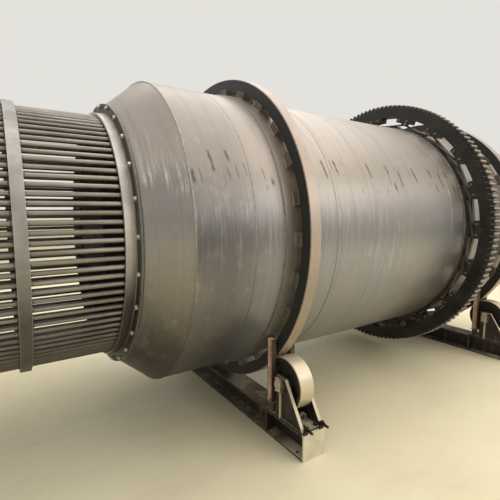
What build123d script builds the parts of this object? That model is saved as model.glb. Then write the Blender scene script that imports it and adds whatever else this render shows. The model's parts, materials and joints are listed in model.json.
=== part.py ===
"""Rotary drum washer with a bar trommel screen on its discharge end, carried on four support rollers.

Frame: X along the drum, positive towards the feed end; Y across; Z up, with the floor at zero.
Everything is in millimetres.
"""

import os
from math import acos, atan2, cos, degrees, hypot, pi, radians, sin, sqrt, tan

from build123d import *

# Drum shell
shell_radius = 1100.0
shell_thickness = 14.0
cone_length = 230.6
cone_side_course = 395.0
front_ring_course = 690.0
long_course = 1490.0
feed_side_course = 1720.0

# Bar screen
bar_diameter = 28.0
bar_sides = 12
bar_circle_radius = 826.0
bar_count = 104
bar_nodes = 4
bay_count = 4
bay_clear_length = 459.0
band_width = 59.0
band_thickness = 24.0
sleeve_length = 59.4
sleeve_thickness = 16.0

# Bolted joint between the screen and the cone
screen_flange_thickness = 8.0
cone_flange_thickness = 8.0
flange_depth = 80.0
cone_inset = 12.0

# Riding rings and their seats
front_ring_from_seam = 748.0
ring_spacing = 2880.0
ring_width = 90.0
ring_thickness = 87.0
ring_chamfer = 5.0
wrapper_width = 270.0
wrapper_thickness = 12.0
pad_count = 27
pad_length = 88.0
pad_depth = 37.1
stop_thickness = 14.0
stop_rise = 10.0

# Girth gear on its tangential spring plates
gear_from_front_ring = 2119.0
gear_module = 18.0
gear_width = 100.0
gear_rim = 93.0
gear_standoff = 100.7
pressure_angle = 20.0
belt_width = 160.0
belt_thickness = 15.0
lug_count = 20
lug_length = 170.0
lug_depth = 46.0
spring_width = 42.0
spring_thickness = 12.0
spring_lug_offset = 55.0
spring_heel = 30.0

# Feed end
end_plate_thickness = 20.0
feed_opening_radius = 520.0
feed_collar_length = 130.0
feed_collar_thickness = 12.0

# Support rollers
roller_radius = 180.0
roller_width = 120.0
roller_angle = 45.0
roller_rim_thickness = 26.0
roller_recess = 22.0
roller_chamfer = 4.0
hub_radius = 62.0
shaft_radius = 30.0
shaft_proud = 6.0

# Roller stations
beam_beyond_stand = 15.8
beam_width = 184.0
beam_height = 180.0
beam_flange = 14.0
beam_web = 10.0
beam_end_plate = 12.0
ring_above_beam = 13.0
anchor_spacing_x = 130.0
anchor_inset = 90.0
anchor_radius = 11.0
stand_plate = 12.0
stand_gap = 8.0
stand_foot = 14.0
stand_foot_inner_reach = 160.0
stand_outer_reach = 232.0
stand_inner_reach = 52.0
stand_cap_reach = 54.0
stand_cap_above_shaft = 52.0
stand_rib_width = 16.0
stand_edge_bar = 12.0
housing_width = 66.0
housing_height = 100.0
housing_length = 26.0
housing_cover_radius = 42.0
housing_cover = 5.0
post_width = 36.0
post_depth = 50.0
post_wall = 6.0
post_top_above_shaft = 296.0
post_beside_roller = 102.0
post_ring_gap = 22.0
post_foot = 8.0
post_pedestal = 64.0
screw_radius = 9.0
screw_length = 70.0
screw_nut = 16.0
screw_lug = 12.0
screw_lug_height = 52.0
screw_rise = 38.0
eye_radius = 26.0
eye_rod = 7.0
eye_beyond_shaft = 130.0
eye_pad = 8.0

# Fits
seat = 0.3
shaft_clearance = 0.1
flange_bore_clearance = 5.0

# Lengthwise layout, from the discharge end of the screen
bay_pitch = bay_clear_length + band_width
screen_length = bay_count * bay_pitch + sleeve_length
flange_start = screen_length
cone_start = flange_start + screen_flange_thickness + cone_flange_thickness
seam = cone_start + cone_length
shell_end = seam + cone_side_course + front_ring_course + long_course + feed_side_course
overall_length = shell_end + end_plate_thickness + feed_collar_length
drum_start = -overall_length / 2
front_ring_x = drum_start + seam + front_ring_from_seam
rear_ring_x = front_ring_x + ring_spacing
gear_x = front_ring_x + gear_from_front_ring

# Radii that follow
shell_inner = shell_radius - shell_thickness
bar_outer = bar_circle_radius + bar_diameter / 2
band_inner = bar_outer + seat
band_outer = band_inner + band_thickness
wrapper_inner = shell_radius + seat
wrapper_outer = wrapper_inner + wrapper_thickness
flange_radius = band_inner + flange_depth
cone_small_radius = flange_radius - cone_inset
pad_inner = wrapper_outer + seat
pad_outer = pad_inner + pad_depth
ring_inner = pad_outer + seat
ring_radius = ring_inner + ring_thickness
axis_height = beam_height + ring_above_beam + ring_radius
roller_distance = ring_radius + roller_radius + seat
roller_y = roller_distance * sin(radians(roller_angle))
roller_z = axis_height - roller_distance * cos(radians(roller_angle))
beam_length = 2 * (roller_y + stand_outer_reach + beam_beyond_stand)
belt_outer = shell_radius + seat + belt_thickness
rim_inner_radius = belt_outer + gear_standoff
gear_teeth = 2 * round((rim_inner_radius + gear_rim) / gear_module + 1.25)
pitch_radius = gear_module * gear_teeth / 2
tip_radius = pitch_radius + gear_module
root_radius = pitch_radius - 1.25 * gear_module
lug_outer = rim_inner_radius - seat
lug_inner = lug_outer - lug_depth
spring_low = belt_outer + seat
spring_high = spring_low + spring_thickness
spring_reach = sqrt((lug_inner - seat) ** 2 - spring_high ** 2)

nodes = {}


def across(x):
    """Plane square to the drum at x, centred on its axis, with its normal along +X."""
    return Plane(origin=(x, 0, axis_height), x_dir=(0, 1, 0), z_dir=(1, 0, 0))


def tube(x_start, length, outer, inner):
    return extrude(across(x_start) * (Circle(outer) - Circle(inner)), length)


def polar(radius, angle):
    return (radius * cos(angle), radius * sin(angle))


def block(x_low, x_high, y_low, y_high, z_low, z_high):
    size = (x_high - x_low, y_high - y_low, z_high - z_low)
    middle = ((x_low + x_high) / 2, (y_low + y_high) / 2, (z_low + z_high) / 2)
    return Pos(*middle) * Box(*size)


def around(solid, angle):
    """A copy of the solid turned about the drum's axis."""
    return solid.rotate(Axis((0, 0, axis_height), (1, 0, 0)), angle)


def arc_block(x_start, length, outer, inner, arc_length):
    """A block that follows the drum's curve, centred on the +Y side."""
    half = arc_length / (outer + inner)
    low = [polar(inner, -half), polar(inner, 0), polar(inner, half)]
    high = [polar(outer, half), polar(outer, 0), polar(outer, -half)]
    outline = ThreePointArc(*low) + Line(low[2], high[0]) + ThreePointArc(*high) + Line(high[2], low[0])
    return extrude(across(x_start) * make_face(outline), length)


def cone_wall():
    """The discharge cone, from the bolted flange out to the shell."""
    slope = atan2(shell_radius - cone_small_radius, cone_length)
    wall = shell_thickness / cos(slope)
    along = (Align.CENTER, Align.CENTER, Align.MIN)
    outside = Cone(cone_small_radius, shell_radius, cone_length, align=along)
    inside = Cone(cone_small_radius - wall, shell_radius - wall, cone_length, align=along)
    return across(drum_start + cone_start) * (outside - inside)


def shell_courses():
    """The rolled courses of the shell, butted end to end."""
    lengths = [cone_side_course, front_ring_course, long_course, feed_side_course]
    start = drum_start + seam
    for number, length in enumerate(lengths, 1):
        nodes[f"shell_course_{number}"] = tube(start, length, shell_radius, shell_inner)
        start += length


def bar_screen():
    """Round bars laid lengthwise inside rolled flat bands."""
    bar_length = screen_length
    per_node = bar_count // bar_nodes
    for group in range(bar_nodes):
        bars = []
        for number in range(per_node):
            angle = 2 * pi * (group * per_node + number + 0.5) / bar_count
            section = Pos(*polar(bar_circle_radius, angle)) * RegularPolygon(bar_diameter / 2, bar_sides)
            bars.append(extrude(across(drum_start) * section, bar_length))
        nodes[f"screen_bars_{group + 1}"] = Compound(children=bars)
    nodes["screen_end_ring"] = tube(drum_start, band_width, band_outer, band_inner)
    for number in range(1, bay_count):
        start = drum_start + number * bay_pitch
        nodes[f"screen_band_{number}"] = tube(start, band_width, band_outer, band_inner)
    sleeve_start = drum_start + screen_length - sleeve_length
    nodes["screen_sleeve"] = tube(sleeve_start, sleeve_length, band_inner + sleeve_thickness, band_inner)


def bolted_flanges():
    start = drum_start + flange_start
    nodes["screen_flange"] = tube(start, screen_flange_thickness, flange_radius, band_inner)
    start += screen_flange_thickness
    nodes["cone_flange"] = tube(start, cone_flange_thickness, flange_radius, band_inner)


def tyre(x):
    """The riding ring itself, turned from a rectangle with its tread edges broken."""
    half = ring_width / 2
    inner = half - ring_chamfer
    section = Polyline(
        (x - half, axis_height + ring_inner),
        (x + half, axis_height + ring_inner),
        (x + half, axis_height + ring_radius - ring_chamfer),
        (x + inner, axis_height + ring_radius),
        (x - inner, axis_height + ring_radius),
        (x - half, axis_height + ring_radius - ring_chamfer),
        close=True,
    )
    return revolve(Plane.XZ * make_face(section), Axis((0, 0, axis_height), (1, 0, 0)))


def riding_ring(name, x):
    """A riding ring loose on its pads, over a wrapper plate that stiffens the shell."""
    nodes[f"{name}_wrapper_plate"] = tube(x - wrapper_width / 2, wrapper_width, wrapper_outer, wrapper_inner)
    nodes[f"{name}_riding_ring"] = tyre(x)
    face = ring_width / 2 + seat
    pad = arc_block(x - face - stop_thickness, 2 * (face + stop_thickness), pad_outer, pad_inner, pad_length)
    for start in (x - face - stop_thickness, x + face):
        pad += arc_block(start, stop_thickness, pad_outer + stop_rise, pad_inner, pad_length)
    pads = [around(pad, 360 * (number + 0.5) / pad_count) for number in range(pad_count)]
    nodes[f"{name}_ring_pads"] = Compound(children=pads)


def flank_angle(radius):
    """Half the angle that a tooth fills at a radius, on an involute flank."""
    base_radius = pitch_radius * cos(radians(pressure_angle))
    here = acos(base_radius / radius)
    at_pitch = radians(pressure_angle)
    return pi / (2 * gear_teeth) + (tan(at_pitch) - at_pitch) - (tan(here) - here)


def gear_half(first_tooth):
    """Half of the girth gear, split through two tooth gaps."""
    count = gear_teeth // 2
    step = 2 * pi / gear_teeth
    start = first_tooth * step
    points = [polar(root_radius, start)]
    radii = (root_radius, pitch_radius, tip_radius)
    for number in range(count):
        middle = start + (number + 0.5) * step
        points += [polar(radius, middle - flank_angle(radius)) for radius in radii]
        points += [polar(radius, middle + flank_angle(radius)) for radius in reversed(radii)]
    finish = start + count * step
    points.append(polar(root_radius, finish))
    inner = [polar(rim_inner_radius, angle) for angle in (finish, (start + finish) / 2, start)]
    outline = Polyline(*points) + Line(points[-1], inner[0]) + ThreePointArc(*inner) + Line(inner[2], points[0])
    return extrude(across(gear_x - gear_width / 2) * make_face(outline), gear_width)


def spring_plate(x_start, side):
    """A flat plate that touches the belt as a tangent and runs out to a lug's inner face."""
    heel = -side * spring_heel
    toe = side * spring_reach
    corners = [(spring_low, heel), (spring_high, heel), (spring_high, toe), (spring_low, toe)]
    return extrude(across(x_start) * make_face(Polyline(*corners, close=True)), spring_width)


def spring_mounting():
    """The belt on the shell, the lugs under the rim, and the crossed spring plates between them."""
    nodes["gear_belt"] = tube(gear_x - belt_width / 2, belt_width, belt_outer, shell_radius + seat)
    lug = arc_block(gear_x - gear_width / 2, gear_width, lug_outer, lug_inner, lug_length)
    lugs = [around(lug, 360 * number / lug_count) for number in range(lug_count)]
    nodes["gear_lugs"] = Compound(children=lugs)
    lean = degrees(atan2(spring_reach, spring_high))
    offset = degrees(spring_lug_offset / lug_inner)
    ahead = spring_plate(gear_x - gear_width / 2, 1)
    behind = spring_plate(gear_x + gear_width / 2 - spring_width, -1)
    plates = []
    for number in range(lug_count):
        at_lug = 360 * number / lug_count
        plates.append(around(ahead, at_lug - lean + offset))
        plates.append(around(behind, at_lug + lean - offset))
    nodes["spring_plates"] = Compound(children=plates)


def feed_end():
    """The annular end plate that holds the load back, and its inlet collar."""
    start = drum_start + shell_end
    nodes["feed_end_plate"] = tube(start, end_plate_thickness, shell_radius, feed_opening_radius)
    collar_outer = feed_opening_radius + feed_collar_thickness
    collar_start = start + end_plate_thickness
    nodes["feed_collar"] = tube(collar_start, feed_collar_length, collar_outer, feed_opening_radius)


def across_roller(x, side):
    """Plane square to a roller's shaft at x; side is -1 on the near side and 1 on the far side."""
    return Plane(origin=(x, side * roller_y, roller_z), x_dir=(0, 1, 0), z_dir=(1, 0, 0))


def roller(x, side):
    """A support roller with recessed faces, forged on its shaft."""
    half = roller_width / 2
    body = extrude(across_roller(x - half, side) * Circle(roller_radius), roller_width)
    body = chamfer(body.edges(), roller_chamfer)
    dish = Circle(roller_radius - roller_rim_thickness) - Circle(hub_radius)
    body -= extrude(across_roller(x - half, side) * dish, roller_recess)
    body -= extrude(across_roller(x + half - roller_recess, side) * dish, roller_recess)
    shaft_length = 2 * (half + stand_gap + stand_plate + housing_length + housing_cover + shaft_proud)
    shaft = extrude(across_roller(x - shaft_length / 2, side) * Circle(shaft_radius), shaft_length)
    return body + shaft


def roller_beam(x):
    """The wide-flanged beam across the station, closed by plates at both ends, with anchor holes."""
    half_width = beam_width / 2
    half_length = beam_length / 2
    beam = block(x - half_width, x + half_width, -half_length, half_length, 0, beam_flange)
    beam += block(x - half_width, x + half_width, -half_length, half_length, beam_height - beam_flange, beam_height)
    beam += block(x - beam_web / 2, x + beam_web / 2, -half_length, half_length, beam_flange, beam_height - beam_flange)
    for side in (-1, 1):
        end = side * (half_length - beam_end_plate / 2)
        rib = side * (roller_y - stand_foot_inner_reach)
        for y in (end, rib):
            low = y - beam_end_plate / 2
            high = y + beam_end_plate / 2
            beam += block(x - half_width, x + half_width, low, high, beam_flange, beam_height - beam_flange)
    holes = GridLocations(anchor_spacing_x, beam_length - 2 * anchor_inset, 2, 2)
    return beam - Pos(x, 0, beam_flange / 2) * holes * Cylinder(anchor_radius, 2 * beam_flange)


def stand_profile(side):
    """Outline of one bearing bracket: a sloped outer edge, a flat cap and an upright inner edge."""
    foot = beam_height + stand_foot - roller_z
    outer = side * stand_outer_reach
    inner = -side * stand_inner_reach
    cap = stand_cap_above_shaft
    points = [(outer, foot), (side * stand_cap_reach, cap), (inner, cap), (inner, foot)]
    return make_face(Polyline(*points, close=True))


def stand_edge(side):
    """Section of the flat bar welded along a bracket's sloped edge."""
    foot = beam_height + stand_foot - roller_z
    run = stand_outer_reach - stand_cap_reach
    slope = hypot(run, stand_cap_above_shaft - foot) / (stand_cap_above_shaft - foot)
    across_bar = side * stand_edge_bar * slope
    outer = side * stand_outer_reach
    top = side * stand_cap_reach
    cap = stand_cap_above_shaft
    points = [(outer, foot), (top, cap), (top - across_bar, cap), (outer - across_bar, foot)]
    return make_face(Polyline(*points, close=True))


def roller_stand(x, side):
    """Two bearing brackets on one foot plate, each a plate with a flat bar down its slope and a rib."""
    half_width = beam_width / 2
    top = beam_height + stand_foot
    ends = sorted((side * (roller_y + stand_outer_reach), side * (roller_y - stand_foot_inner_reach)))
    stand = block(x - half_width, x + half_width, *ends, beam_height, top)
    inner_face = roller_width / 2 + stand_gap
    rib_top = roller_z - housing_height / 2 - seat
    rib_y = side * roller_y - stand_rib_width / 2
    for hand in (-1, 1):
        start = x + inner_face if hand > 0 else x - inner_face - stand_plate
        stand += extrude(across_roller(start, side) * stand_profile(side), stand_plate)
        low, high = sorted((x + hand * inner_face, x + hand * half_width))
        stand += extrude(across_roller(low, side) * stand_edge(side), high - low)
        stand += block(low, high, rib_y, rib_y + stand_rib_width, top, rib_top)
    bore = Circle(shaft_radius + flange_bore_clearance)
    return stand - extrude(across_roller(x - beam_width, side) * bore, 2 * beam_width)


def bearing_housing(x, side, hand):
    """A block on the outer face of a bracket with a round cover, and the shaft end running in both."""
    inner_face = roller_width / 2 + stand_gap + stand_plate
    length = housing_length + housing_cover
    bore = Circle(shaft_radius + shaft_clearance)
    body = Rectangle(housing_width, housing_height) - bore
    cover = Circle(housing_cover_radius) - bore
    start = x + inner_face if hand > 0 else x - inner_face - length
    body_start = start if hand > 0 else start + housing_cover
    housing = extrude(across_roller(start, side) * cover, length)
    return housing + extrude(across_roller(body_start, side) * body, housing_length)


def guard_post(x, side, hand):
    """An upright channel beside the riding ring, open away from it, on a pedestal on the stand's foot."""
    ring_face = ring_width / 2 + post_ring_gap
    y = side * (roller_y - post_beside_roller)
    y_low = y - post_depth / 2
    y_high = y + post_depth / 2
    floor = beam_height + stand_foot
    shelf = floor + post_pedestal
    base = shelf + post_foot
    top = roller_z + post_top_above_shaft
    x_low, x_high = sorted((x + hand * ring_face, x + hand * (ring_face + post_width)))
    post = block(x_low, x_high, y_low, y_high, base, top)
    cut_low, cut_high = sorted((x + hand * (ring_face + post_wall), x + hand * (ring_face + 2 * post_width)))
    post -= block(cut_low, cut_high, y_low + post_wall, y_high - post_wall, base, top)
    post += block(x_low, x_high, y_low - post_foot, y_high + post_foot, shelf, base)
    leg_low, leg_high = sorted((x + hand * ring_face, x + hand * beam_width / 2))
    return post + block(leg_low, leg_high, y_low, y_high, floor, shelf)


def adjusting_screw(x, side, hand):
    """A jacking screw and its lug, at the outer end of a stand's foot."""
    y_foot = roller_y + stand_outer_reach
    y_lug = beam_length / 2 - screw_lug
    x_screw = x + hand * (roller_width / 2 + stand_gap)
    width = 2 * screw_nut
    z = beam_height + screw_rise
    low, high = sorted((side * y_lug, side * (y_lug + screw_lug)))
    lug = block(x_screw - width / 2, x_screw + width / 2, low, high, beam_height, beam_height + screw_lug_height)
    middle = Plane(origin=(x_screw, side * (y_foot + seat), z), x_dir=(1, 0, 0), z_dir=(0, side, 0))
    rod = extrude(middle * Circle(screw_radius), screw_length)
    head = Plane(origin=(x_screw, side * (y_lug + screw_lug), z), x_dir=(1, 0, 0), z_dir=(0, side, 0))
    nut = extrude(head * RegularPolygon(screw_nut, 6), screw_nut)
    return lug + rod + nut


def lifting_eye(x, side):
    """A ring for lifting on a small pad, upright on the stand's foot below the roller."""
    y = side * (roller_y + eye_beyond_shaft)
    base = beam_height + stand_foot
    pad = block(x - eye_radius, x + eye_radius, y - eye_rod, y + eye_rod, base, base + eye_pad)
    middle = Plane(origin=(x, y - eye_rod, base + eye_pad + eye_radius), x_dir=(1, 0, 0), z_dir=(0, 1, 0))
    return pad + extrude(middle * (Circle(eye_radius + eye_rod) - Circle(eye_radius - eye_rod)), 2 * eye_rod)


def roller_station(name, x):
    """One support station: beam, stands, bearings, rollers, posts, screws and eyes."""
    nodes[f"{name}_roller_beam"] = roller_beam(x)
    nodes[f"{name}_roller_stands"] = Compound(children=[roller_stand(x, side) for side in (-1, 1)])
    corners = [(side, hand) for side in (-1, 1) for hand in (-1, 1)]
    nodes[f"{name}_bearing_housings"] = Compound(children=[bearing_housing(x, *c) for c in corners])
    nodes[f"{name}_guard_posts"] = Compound(children=[guard_post(x, *c) for c in corners])
    nodes[f"{name}_adjusting_screws"] = Compound(children=[adjusting_screw(x, *c) for c in corners])
    nodes[f"{name}_lifting_eyes"] = Compound(children=[lifting_eye(x, side) for side in (-1, 1)])
    nodes[f"{name}_near_roller"] = roller(x, -1)
    nodes[f"{name}_far_roller"] = roller(x, 1)


nodes["discharge_cone"] = cone_wall()
shell_courses()
bar_screen()
bolted_flanges()
riding_ring("front", front_ring_x)
riding_ring("rear", rear_ring_x)
nodes["girth_gear_upper_half"] = gear_half(0)
nodes["girth_gear_lower_half"] = gear_half(gear_teeth // 2)
spring_mounting()
feed_end()
roller_station("front", front_ring_x)
roller_station("rear", rear_ring_x)

os.makedirs("parts", exist_ok=True)
for name, shape in nodes.items():
    export_step(shape, f"parts/{name}.step")
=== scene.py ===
import json
import random
from math import cos, pi, radians, sin

import bmesh
import bpy
from mathutils import Matrix, Vector


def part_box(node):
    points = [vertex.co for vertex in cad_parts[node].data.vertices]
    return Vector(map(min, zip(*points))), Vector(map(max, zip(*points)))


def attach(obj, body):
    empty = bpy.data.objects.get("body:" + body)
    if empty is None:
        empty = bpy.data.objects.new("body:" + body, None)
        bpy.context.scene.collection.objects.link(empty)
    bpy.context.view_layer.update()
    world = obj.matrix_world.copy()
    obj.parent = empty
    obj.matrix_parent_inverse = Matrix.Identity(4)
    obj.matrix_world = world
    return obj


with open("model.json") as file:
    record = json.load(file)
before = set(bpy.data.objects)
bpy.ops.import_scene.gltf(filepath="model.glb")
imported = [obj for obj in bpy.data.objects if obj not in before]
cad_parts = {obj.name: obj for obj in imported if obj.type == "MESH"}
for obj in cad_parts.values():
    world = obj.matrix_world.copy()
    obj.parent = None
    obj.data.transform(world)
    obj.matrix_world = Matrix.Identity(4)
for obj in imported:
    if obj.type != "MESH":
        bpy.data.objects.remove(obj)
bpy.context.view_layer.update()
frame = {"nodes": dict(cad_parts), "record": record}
nodes = frame["nodes"]
random.seed(41)


def span(node, axis=0):
    low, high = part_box(node)
    return low[axis], high[axis]


def middleOf(node, axis=0):
    return sum(span(node, axis)) / 2


def radiusOf(node):
    low, high = span(node, 1)
    return (high - low) / 2


# Sizes of the roller stations that their boxes don't give, in metres.
station = {
    "endPlate": 0.012,  # thickness of a beam's end plate
    "footPlate": 0.014,  # thickness of a stand's foot plate
    "footEdge": 0.0915,  # from the ring's middle to the foot plate's edge
    "footIn": 0.155,  # from the roller's middle to the ends of the foot plate's weld
    "footOut": 0.228,
    "bracketNear": 0.068,  # from the ring's middle to a bracket's two faces
    "bracketFar": 0.080,
    "bracketIn": 0.052,  # from the roller's middle to the ends of a bracket's foot
    "bracketOut": 0.218,
    "ribHalf": 0.008,
    "ribTop": 0.052,  # below the shaft
    "postAside": 0.102,  # from the roller's middle to the post's
    "postHalf": 0.019,  # half the channel's inside
    "postWeb": 0.073,  # from the ring's middle to the inside of the post's web
    "postFoot": 0.072,  # above the foot plate
    "shaft": 0.030,
    "rollerRim": 0.169,  # radius inside which a roller's faces get painted shade
}

# Places read from the model.
axisZ = middleOf("front_riding_ring", 2)
shellRadius = radiusOf("shell_course_1")
barRadius = radiusOf("screen_sleeve") - 0.016  # inside the sleeve's plate
gearX = middleOf("girth_gear_upper_half")
gearRadius = radiusOf("girth_gear_upper_half")
stationX = {end: middleOf(f"{end}_riding_ring") for end in ("front", "rear")}
beamEnd = span("front_roller_beam", 1)[1]
rollerY = middleOf("front_far_roller", 1)
rollerZ = middleOf("front_far_roller", 2)
footTop = span("front_roller_stands", 2)[0] + station["footPlate"]


def toLinear(hexText):
    parts = [int(hexText[i : i + 2], 16) / 255 for i in (1, 3, 5)]
    return [c / 12.92 if c <= 0.04045 else ((c + 0.055) / 1.055) ** 2.4 for c in parts] + [1.0]


def addNode(tree, kind, inputs=None, pick=0, **settings):
    # adds a node with its settings and links, and gives the output that is picked
    node = tree.nodes.new(kind)
    for name, value in settings.items():
        setattr(node, name, value)
    for name, value in (inputs or {}).items():
        socket = node.inputs[name]
        if isinstance(value, bpy.types.NodeSocket):
            tree.links.new(value, socket)
        elif isinstance(value, str):
            socket.default_value = toLinear(value)
        else:
            socket.default_value = value
    return node.outputs[pick] if node.outputs else None


def newMaterial(name):
    material = bpy.data.materials.new(name)
    material.use_nodes = True
    material.node_tree.nodes.clear()
    return material, material.node_tree


def howMuch(tree, *ramps):
    # the product of ramps: each is a value, where it starts and is full, and the least and most it gives
    names = ("Value", "From Min", "From Max", "To Min", "To Max")
    result = None
    for ramp in ramps:
        if isinstance(ramp, tuple):
            inputs = dict(zip(names, ramp))
            ramp = addNode(tree, "ShaderNodeMapRange", inputs, interpolation_type="SMOOTHSTEP")
        if result is not None:
            ramp = addNode(tree, "ShaderNodeMath", {0: result, 1: ramp}, operation="MULTIPLY")
        result = ramp
    return result


def layered(tree, colour, *layers):
    # lays tones over a colour, each as much as the ramps after it say
    for tone, *ramps in layers:
        inputs = {0: howMuch(tree, *ramps), 6: colour, 7: tone}
        colour = addNode(tree, "ShaderNodeMix", inputs, 2, data_type="RGBA")
    return colour


def cloudy(tree, place, *patterns):
    # a cloudy pattern for each row: how long its marks are in millimetres, one number or one for each axis,
    # then its detail, its roughness and sometimes a shift
    made = []
    for size, detail, rough, *shift in patterns:
        lengths = size if isinstance(size, tuple) else (size, size, size)
        inputs = {"Vector": place, "Scale": [1000 / length for length in lengths]}
        if shift:
            inputs["Location"] = shift[0]
        scaled = addNode(tree, "ShaderNodeMapping", inputs)
        inputs = {"Vector": scaled, "Scale": 1.0, "Detail": detail, "Roughness": rough}
        made.append(addNode(tree, "ShaderNodeTexNoise", inputs))
    return made


def within(value, low, high, soft):
    # two ramps that are full between low and high and fade over soft outside them
    return (value, low - soft, low), (value, high + soft, high)


def position(tree):
    # object coordinates as a vector, and x, y and height above the drum's axis
    place = addNode(tree, "ShaderNodeTexCoord", pick="Object")
    lowered = addNode(tree, "ShaderNodeVectorMath", {0: place, 1: (0, 0, axisZ)}, operation="SUBTRACT")
    return place, *addNode(tree, "ShaderNodeSeparateXYZ", {0: lowered}).node.outputs


def radiusFrom(tree, y, z):
    across = addNode(tree, "ShaderNodeCombineXYZ", {1: y, 2: z})
    return addNode(tree, "ShaderNodeVectorMath", {0: across}, "Value", operation="LENGTH")


def distanceFrom(tree, value, places):
    # distance from the nearest of these places
    nearest = None
    for place in places:
        gap = addNode(tree, "ShaderNodeMath", {0: value, 1: place}, operation="SUBTRACT")
        gap = addNode(tree, "ShaderNodeMath", {0: gap}, operation="ABSOLUTE")
        if nearest is not None:
            gap = addNode(tree, "ShaderNodeMath", {0: nearest, 1: gap}, operation="MINIMUM")
        nearest = gap
    return nearest


def facing(tree):
    # how far a face looks along x and along y, either way, and how far it looks up
    normal = addNode(tree, "ShaderNodeNewGeometry", pick="True Normal")
    either = addNode(tree, "ShaderNodeVectorMath", {0: normal}, operation="ABSOLUTE")
    along, across, _ = addNode(tree, "ShaderNodeSeparateXYZ", {0: either}).node.outputs
    return along, across, addNode(tree, "ShaderNodeSeparateXYZ", {0: normal}, 2)


def wornEdge(tree, size):
    # a ramp that is full where the surface turns a corner within this distance
    turned = addNode(tree, "ShaderNodeBevel", {"Radius": size}, samples=6)
    flat = addNode(tree, "ShaderNodeNewGeometry", pick="Normal")
    alike = addNode(tree, "ShaderNodeVectorMath", {0: turned, 1: flat}, "Value", operation="DOT_PRODUCT")
    return alike, 0.97, 0.8


def finishMaterial(tree, colour, roughness, metallic, relief, depth):
    inputs = {"Height": relief, "Strength": 1.0, "Distance": depth}
    bumpy = addNode(tree, "ShaderNodeBump", inputs)
    inputs = {"Base Color": colour, "Roughness": roughness, "Metallic": metallic, "Normal": bumpy}
    shader = addNode(tree, "ShaderNodeBsdfPrincipled", inputs)
    addNode(tree, "ShaderNodeOutputMaterial", {"Surface": shader})


# Short slanting drag marks, one in some cells of a net laid round the shell, in a belt above its middle.
dragForm = {
    "slant": 0.10,  # sideways for each metre upwards
    "stray": 0.8,  # how far the marks leave an even net
    "ragged": 5.0,  # notches in a cell
    "halfWide": (0.04, 0.10),  # least and most, as shares of a cell
    "halfLong": (0.52, 0.34),  # where a mark ends and where it is full
}


def dragMarks(tree, x, y, z, kind):
    wide, high = kind["cell"]
    aside = addNode(tree, "ShaderNodeMath", {0: y}, operation="ABSOLUTE")
    turn = addNode(tree, "ShaderNodeMath", {0: z, 1: aside}, operation="ARCTAN2")
    arc = addNode(tree, "ShaderNodeMath", {0: turn, 1: shellRadius}, operation="MULTIPLY")
    lean = addNode(tree, "ShaderNodeMath", {0: arc, 1: dragForm["slant"], 2: x}, operation="MULTIPLY_ADD")
    unrolled = addNode(tree, "ShaderNodeCombineXYZ", {0: lean, 1: arc})
    inputs = {"Vector": unrolled, "Scale": (1000 / wide, 1000 / high, 1.0)}
    net = addNode(tree, "ShaderNodeMapping", inputs)
    inputs = {"Vector": net, "Scale": 1.0, "Randomness": dragForm["stray"]}
    cell = addNode(tree, "ShaderNodeTexVoronoi", inputs, voronoi_dimensions="2D").node.outputs
    inputs = {0: net, 1: cell["Position"]}
    fromMiddle = addNode(tree, "ShaderNodeVectorMath", inputs, operation="SUBTRACT")
    fromMiddle = addNode(tree, "ShaderNodeVectorMath", {0: fromMiddle}, operation="ABSOLUTE")
    across, along, _ = addNode(tree, "ShaderNodeSeparateXYZ", {0: fromMiddle}).node.outputs
    inputs = {"Vector": net, "Scale": dragForm["ragged"], "Detail": 5.0}
    ragged = addNode(tree, "ShaderNodeTexNoise", inputs)
    width = howMuch(tree, (ragged, 0.3, 0.7, *dragForm["halfWide"]))
    across = addNode(tree, "ShaderNodeMath", {0: across, 1: width}, operation="SUBTRACT")
    along = addNode(tree, "ShaderNodeMath", {0: ragged, 1: 0.2, 2: along}, operation="MULTIPLY_ADD")
    lot = addNode(tree, "ShaderNodeSeparateXYZ", {0: cell["Color"]})
    chosen = addNode(tree, "ShaderNodeMath", {0: lot, 1: kind["share"]}, operation="LESS_THAN")
    inBelt = within(turn, *kind["belt"], 0.03)
    inside = ((across, 0.03, -0.02), (along, *dragForm["halfLong"]))
    return howMuch(tree, *inside, chosen, *inBelt, kind["strength"])


# painted shade for the lower parts of plates and bars, a darker tone for welds low down, and dust
dirtAndShade = {"paintedShadeBelow": "#2c2a26", "weldDarkerLow": "#45403a", "dust": "#cfc3a6"}
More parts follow.
